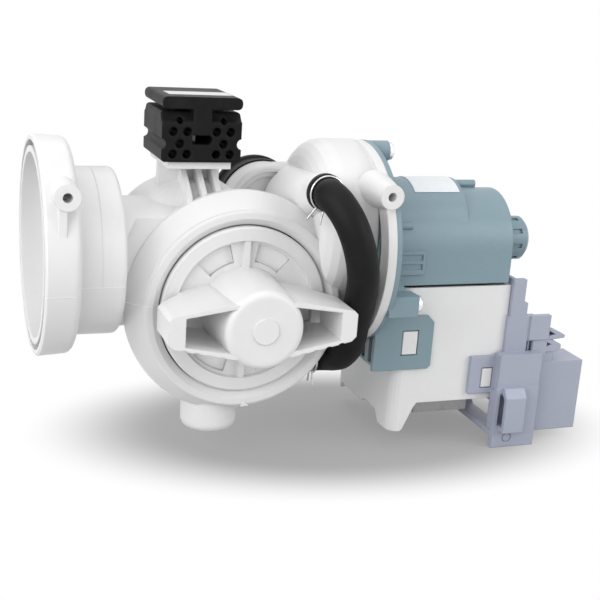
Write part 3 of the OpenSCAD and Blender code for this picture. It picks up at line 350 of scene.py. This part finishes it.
def plated(name, colour, gloss=0.28, drawn=(0.1, 1, 1)):
    """Plated or drawn metal: bright, with fine lines stretched as drawn says and a few dull spots."""
    f = Finish(name)
    lines = f.noise(900, stretch=drawn)
    spots = f.smooth(f.noise(260, 3), 0.62, 0.75)
    f.set(Base_Color=f.blend(spots, grey(1, colour), grey(0.72, colour)), Metallic=1.0,
          Roughness=gloss + lines * 0.12 + spots * 0.15)
    f.relief(lines, 0.00002, 0.0003)
    return f.material


def sheets(name):
    """Edge of a lamination stack: sheets one after the other along the shaft, with dark films between."""
    f = Finish(name)
    phase = (f.x / SHEET).math("FRACT")
    gap = f.smooth(abs(phase - 0.5), 0.36, 0.5)
    stain = f.smooth(f.noise(70, 4), 0.5, 0.7)
    base = f.blend(gap, f.blend(stain, grey(0.36), grey(0.27, (1.05, 1, 0.95))), grey(0.06))
    f.set(Base_Color=base, Metallic=0.85, Roughness=0.42 + stain * 0.15)
    f.relief(1 - gap, 0.00008)
    return f.material


def wound(name):
    """Enamelled copper wire in level turns, seen as rounded rows."""
    f = Finish(name)
    row = (f.z / WIRE_PITCH).math("FRACT")
    hollow = abs(row - 0.5) * 2
    tone = f.noise(300, stretch=(0.15, 0.15, 1))
    f.set(Base_Color=f.blend(f.ramp(tone, 0.3, 0.7), (0.45, 0.13, 0.035, 1), (0.62, 0.22, 0.07, 1)),
          Metallic=0.7, Roughness=0.3 + hollow * 0.2, Coat_Weight=0.4)
    f.relief(1 - hollow * hollow, 0.00025)
    return f.material


def ground_stone(name, value):
    """Dark sintered or ground stone: grey grains on near black."""
    f = Finish(name)
    grain = f.smooth(f.noise(700, 3), 0.5, 0.7)
    f.set(Base_Color=f.blend(grain, grey(value), grey(value * 2.2)), Roughness=0.45 + grain * 0.2)
    f.relief(grain, 0.00004, 0.0003)
    return f.material


def film(name):
    """Plain label film: off white, with a faint weave in colour and gloss and light curl marks."""
    f = Finish(name)
    weave = f.noise(500, 3)
    f.set(Base_Color=f.blend(weave, (0.70, 0.73, 0.76, 1), (0.78, 0.80, 0.83, 1)),
          Roughness=0.3 + weave * 0.1, Coat_Weight=0.15)
    f.relief(f.noise(90), 0.0001)
    return f.material


finishes = {
    "white_plastic": white_moulding("white_moulding"),
    "black_rubber": hose_rubber("black_rubber"),
    "spring_steel": plated("drawn_wire", (0.62, 0.62, 0.63), gloss=0.22),
    "grey_plastic": moulding("glass_filled_grey", (0.5, 0.51, 0.52), gloss=0.45, grain=0.00008, clouds=0.1),
    "steel": plated("ground_shaft", (0.66, 0.66, 0.67), gloss=0.18, drawn=(0.05, 1, 1)),
    "ferrite": ground_stone("ferrite", 0.035),
    "graphite": ground_stone("porous_carbon", 0.05),
    "teal_plastic": moulding("teal_moulding", (0.215, 0.305, 0.350), gloss=0.33, grain=0.00005, clouds=0.06),
    "zinc_steel": plated("zinc_plate", (0.78, 0.79, 0.81), gloss=0.24),
    "core_steel": sheets("laminations"),
    "copper": wound("copper_windings"),
    "black_plastic": moulding("black_moulding", (0.02, 0.02, 0.02), gloss=0.4),
    "tinned_brass": plated("tinned_brass", (0.74, 0.73, 0.69), gloss=0.25),
    "lilac_plastic": moulding("lilac_moulding", (0.37, 0.395, 0.485), gloss=0.36, grain=0.00005, clouds=0.05),
    "label_film": film("label_film"),
}

# The neck ends where the collar does, and the filter plug's face stands before the end of its skirt
neck_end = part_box("inlet_collar")[1][0]
plug_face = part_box("filter_cap")[1][1] - SKIRT_DEPTH
own_finishes = {
    "inlet_collar": white_moulding("collar_moulding", seams=(
        ("z", -0.0099, PAINTED_HIGHLIGHT_SEAM, {"x": (-0.001, 0.0115), "y": (-0.05, -0.03)}),
        ("z", -0.0092, PAINTED_HIGHLIGHT_SEAM, {"x": (0.0125, neck_end), "y": (-0.05, -0.033)}),
        ("x", 0.0233, PAINTED_SHADE_SEAM, {"radius": (0.0335, 0.04), "z": (-0.0092, 0.04)}))),
    "pump_housing": white_moulding("housing_moulding", seams=(
        ("z", -0.0204, PAINTED_HIGHLIGHT_SEAM, {"x": (0.034, 0.05), "y": (-0.05, -0.001)}),)),
    "filter_cap": white_moulding("plug_moulding", pockets=(plug_face + 0.0027, plug_face + 0.0047)),
    "rubber_mount": mount_rubber("mount_rubber"),
}
slots = {row["node"]: row["material_slot"] for row in frame["record"]["subparts"]}
for node, thing in frame["nodes"].items():
    thing.data.materials.clear()
    thing.data.materials.append(own_finishes.get(node, finishes[slots[node]]))


# New pieces
def new_piece(name, points, faces, material):
    """An object from arrays of corners and faces."""
    mesh = bpy.data.meshes.new(name)
    mesh.from_pydata(points.tolist(), [], faces.tolist())
    mesh.materials.append(material)
    thing = bpy.data.objects.new(name, mesh)
    bpy.context.collection.objects.link(thing)
    return thing


def grid_faces(rows, columns, close_rows=False, close_columns=False):
    """Quads between neighbouring rows and columns of a grid of corners, facing outwards where columns run
    right-handed along the rows. Closed rows or columns also join the last one to the first."""
    k = np.arange(rows * columns).reshape(rows, columns)
    if close_rows:
        k = np.vstack([k, k[:1]])
    if close_columns:
        k = np.hstack([k, k[:, :1]])
    return np.stack([k[:-1, :-1], k[1:, :-1], k[1:, 1:], k[:-1, 1:]], -1).reshape(-1, 4)


def smooth_route(points, steps):
    """Catmull-Rom curve: between b and c it is half of 2b + (c-a)t + (2a-5b+4c-d)t^2 + (3b-a-3c+d)t^3."""
    p = np.vstack([points[:1], points, points[-1:]])
    a, b, c, d = (p[i:len(p) - 3 + i, None, :] for i in range(4))
    t = (np.arange(steps) / steps)[None, :, None]
    square, cube = 2 * a - 5 * b + 4 * c - d, 3 * b - a - 3 * c + d
    run = 0.5 * (2 * b + (c - a) * t + square * t ** 2 + cube * t ** 3)
    return np.vstack([run.reshape(-1, 3), points[-1:]])


def part_way(field, at):
    """Rows of a field at places between its whole rows, shaped so that a circle of corners can be added."""
    whole = np.arange(len(field))
    return np.stack([np.interp(at, whole, field[:, i]) for i in range(3)], 1)[:, None, :]


def tube_wall(route, first, last, rows, lean, columns):
    """A wall carried along a route: a row is [index on the route, radius], a circle square to the route.
    The circle's sides are the cross products of the heading with the lean direction and with that side."""
    heading = np.gradient(route, axis=0)
    heading[0], heading[-1] = first, last
    heading /= np.linalg.norm(heading, axis=1)[:, None]
    side = np.cross(heading, lean)
    side /= np.linalg.norm(side, axis=1)[:, None]
    other = np.cross(heading, side)
    at, radius = np.array(rows, float).T
    angle = np.linspace(0, 2 * math.pi, columns, endpoint=False)[None, :, None]
    ring = part_way(side, at) * np.cos(angle) + part_way(other, at) * np.sin(angle)
    return (part_way(route, at) + ring * radius[:, None, None]).reshape(-1, 3)


# The hose's route in mm from its upper spigot to its lower one, with the points of its solid
UPPER = np.array([115.3, -28.0, 27.5])
LOWER = np.array([123.0, -6.5, -52.0])
HOSE_ROUTE = np.array([
    UPPER, UPPER + [0, -5.5, 0], UPPER + [0.1, -8.2, -0.1], UPPER + [2.4, -12.9, -3],
    UPPER + [6, -17.6, -10], UPPER + [10, -19.2, -20.5], UPPER + [13.4, -16.8, -32.6],
    LOWER + [8.5, -30.1, 33.2], LOWER + [8.7, -25.7, 22.7], LOWER + [8.8, -22.1, 13],
    LOWER + [8.7, -14.5, 5.8], LOWER + [8.2, -8, 2.6], LOWER + [7.4, -4, 1.2], LOWER + [6, -1.7, 0.5],
    LOWER + [4, -0.35, 0.1], LOWER + [2, 0, 0], LOWER]) * MM
HOSE_STEPS, HOSE_COLUMNS, BORE_SPACING = 9, 56, 6


def make_hose():
    """Moulded bypass hose: rows over its cuff and outer wall, round its lower end and back in its bore.
    Their places count steps of the route, which are about 0.6 mm along the cuff."""
    route = smooth_route(HOSE_ROUTE, HOSE_STEPS)
    n = len(route) - 1
    outer, bore, lip, cuff = 6.75 * MM, 4.85 * MM, 0.5 * MM, 8.0 * MM
    shoulder = cuff - lip * 0.2
    start = [[0, bore], [0, cuff - lip], [0.4, shoulder], [0.9, cuff], [4.4, cuff], [4.9, shoulder],
             [5.2, cuff - lip], [5.3, outer]]
    end = [[n - 0.8, outer], [n - 0.25, outer - lip * 0.25], [n, outer - lip], [n, bore]]
    wall = [[i, outer] for i in range(math.ceil(start[-1][0]), n)]
    inside = [[i, bore] for i in range(n - BORE_SPACING, 0, -BORE_SPACING)]
    rows = start + wall + end + inside
    leaves, arrives, lean = (0, -1, 0), (-1, 0, 0), (0.7071, 0, 0.7071)
    points = tube_wall(route, leaves, arrives, rows, lean, HOSE_COLUMNS)
    faces = grid_faces(len(rows), HOSE_COLUMNS, close_rows=True, close_columns=True)
    hose = new_piece("bypass_hose_rubber", points, faces, finishes["black_rubber"])
    hose.data.shade_smooth()
    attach(hose, "housing")
    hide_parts("bypass_hose")


# Stage
FLOOR_Z = cad_box[0][2] - 0.0002
FLOOR_HALF, FLOOR_CORNERS = 6, 9

# Painted shadow: near the pump, this share of the floor's looks is a dim grey light of its own, of this
# strength
PAINTED_SHADOW_SHARE, PAINTED_SHADOW_GREY = 0.6, 0.4

# The oval of painted shadow on that floor: middle, half lengths, turn in degrees, and where it starts and
# ends to fade to white
PAINTED_SHADOW_MIDDLE, PAINTED_SHADOW_HALF, PAINTED_SHADOW_TURN = (0.1450, 0.0104), (0.119, 0.068), 5.354
PAINTED_SHADOW_EDGES = (0.68, 1.26)

# Strength of the world as light; where it is seen, it shows at 1
SKY = 0.5


def make_floor():
    """Flat square grid for a pale floor that keeps the lamps' shadow near the pump, darkened further there by
    a painted shadow, and is plain white further off. How far off is the root of the squares of the places
    along the oval's axes, in half lengths."""
    at = np.linspace(-FLOOR_HALF, FLOOR_HALF, FLOOR_CORNERS)
    u, v = np.meshgrid(at + MIDDLE[0], at, indexing="ij")
    points = np.stack([u.ravel(), v.ravel(), np.full(u.size, FLOOR_Z)], 1)
    f = Finish("pale_floor")
    f.set(Base_Color=grey(0.5), Roughness=0.9, Specular_IOR_Level=0.1)
    surface = Term(f.tree, f.shader.outputs[0])
    x, y = f.x - PAINTED_SHADOW_MIDDLE[0], f.y - PAINTED_SHADOW_MIDDLE[1]
    cos, sin = math.cos(math.radians(PAINTED_SHADOW_TURN)), math.sin(math.radians(PAINTED_SHADOW_TURN))
    across = (x * cos - y * sin) / PAINTED_SHADOW_HALF[0]
    along = (x * sin + y * cos) / PAINTED_SHADOW_HALF[1]
    far = f.smooth((across * across + along * along).math("SQRT"), *PAINTED_SHADOW_EDGES)
    # Painted shadow: inside the oval the floor shows partly as a dim grey light in place of its lit surface
    near = f.mix(PAINTED_SHADOW_SHARE, surface, f.light(PAINTED_SHADOW_GREY))
    shown = f.mix(seen(f.tree), surface, f.mix(far, near, f.light(1.0)))
    f.tree.links.new(shown.socket, f.tree.nodes["Material Output"].inputs["Surface"])
    floor = new_piece("floor", points, grid_faces(FLOOR_CORNERS, FLOOR_CORNERS), f.material)


def make_world():
    """Plain white world where it is seen, which lights the pump by SKY."""
    world = bpy.context.scene.world or bpy.data.worlds.new("world")
    bpy.context.scene.world = world
    world.use_nodes = True
    tree = world.node_tree
    tree.nodes.clear()
    sky = tree.nodes.new("ShaderNodeBackground")
    feed(tree, sky.inputs["Color"], grey(1))
    feed(tree, sky.inputs["Strength"], seen(tree) * (1 - SKY) + SKY)
    out = tree.nodes.new("ShaderNodeOutputWorld")
    tree.links.new(sky.outputs[0], out.inputs["Surface"])


set_camera()
make_floor()
make_world()
make_hose()
add_sun("key", 0.8, 60, (0.05, 0.1, -1))
add_panel("left", 3.6, (-0.719, -0.305, 0.325))
add_panel("left_front", 2.1, (-0.454, -0.684, 0.325))
add_panel("right", 2.9, (0.804, -0.574, 0.325))
add_panel("back", 1.0, (0.12, 0.611, 0.728))
bpy.context.scene.view_settings.view_transform = "Standard"
